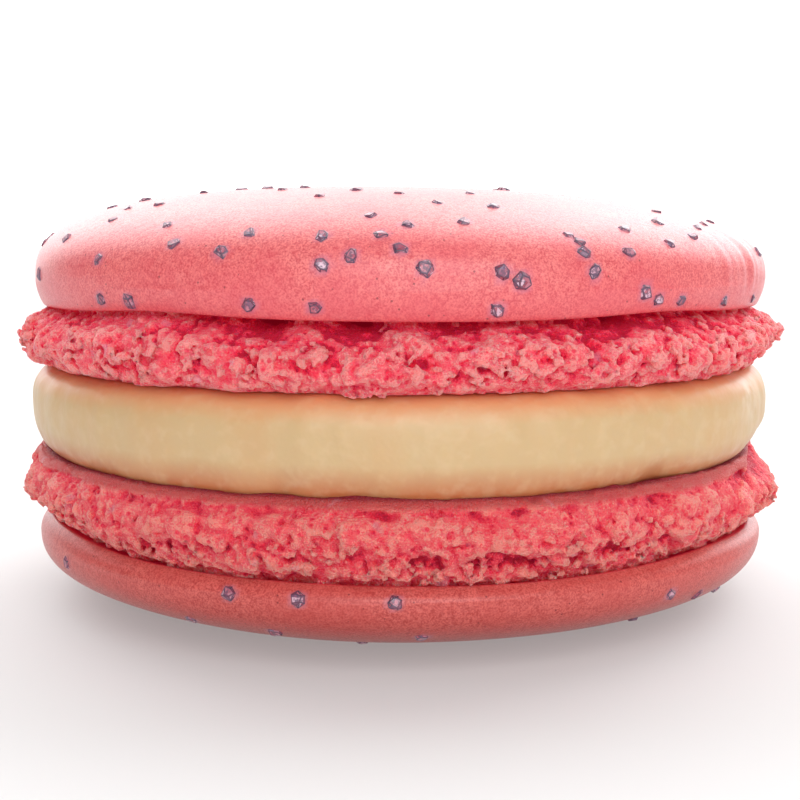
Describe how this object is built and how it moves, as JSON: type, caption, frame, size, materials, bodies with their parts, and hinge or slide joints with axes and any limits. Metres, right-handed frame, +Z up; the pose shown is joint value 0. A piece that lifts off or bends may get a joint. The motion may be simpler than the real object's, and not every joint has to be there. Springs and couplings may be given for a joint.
{
  "type": "french macaron",
  "caption": "Round almond meringue biscuit sandwich: two smooth domed pink shells with craggy feet and sugar crystals, round a thick disc of pale cream.",
  "frame": {"origin": "centre of the small flat spot under the lower shell, on the surface that the biscuit rests on", "axes": "+Z up through the stack of lower shell, filling and upper shell; -Y faces the viewer of the picture and +X is to the viewer's right"},
  "size_m": [0.0474, 0.0473, 0.0252],
  "materials": {
    "shell": "satin baked almond meringue, porous at the foot",
    "filling": "smooth satin cream"
  },
  "bodies": {
    "root": {"upper_shell": "shell", "filling": "filling", "lower_shell": "shell"}
  },
  "joints": []
}
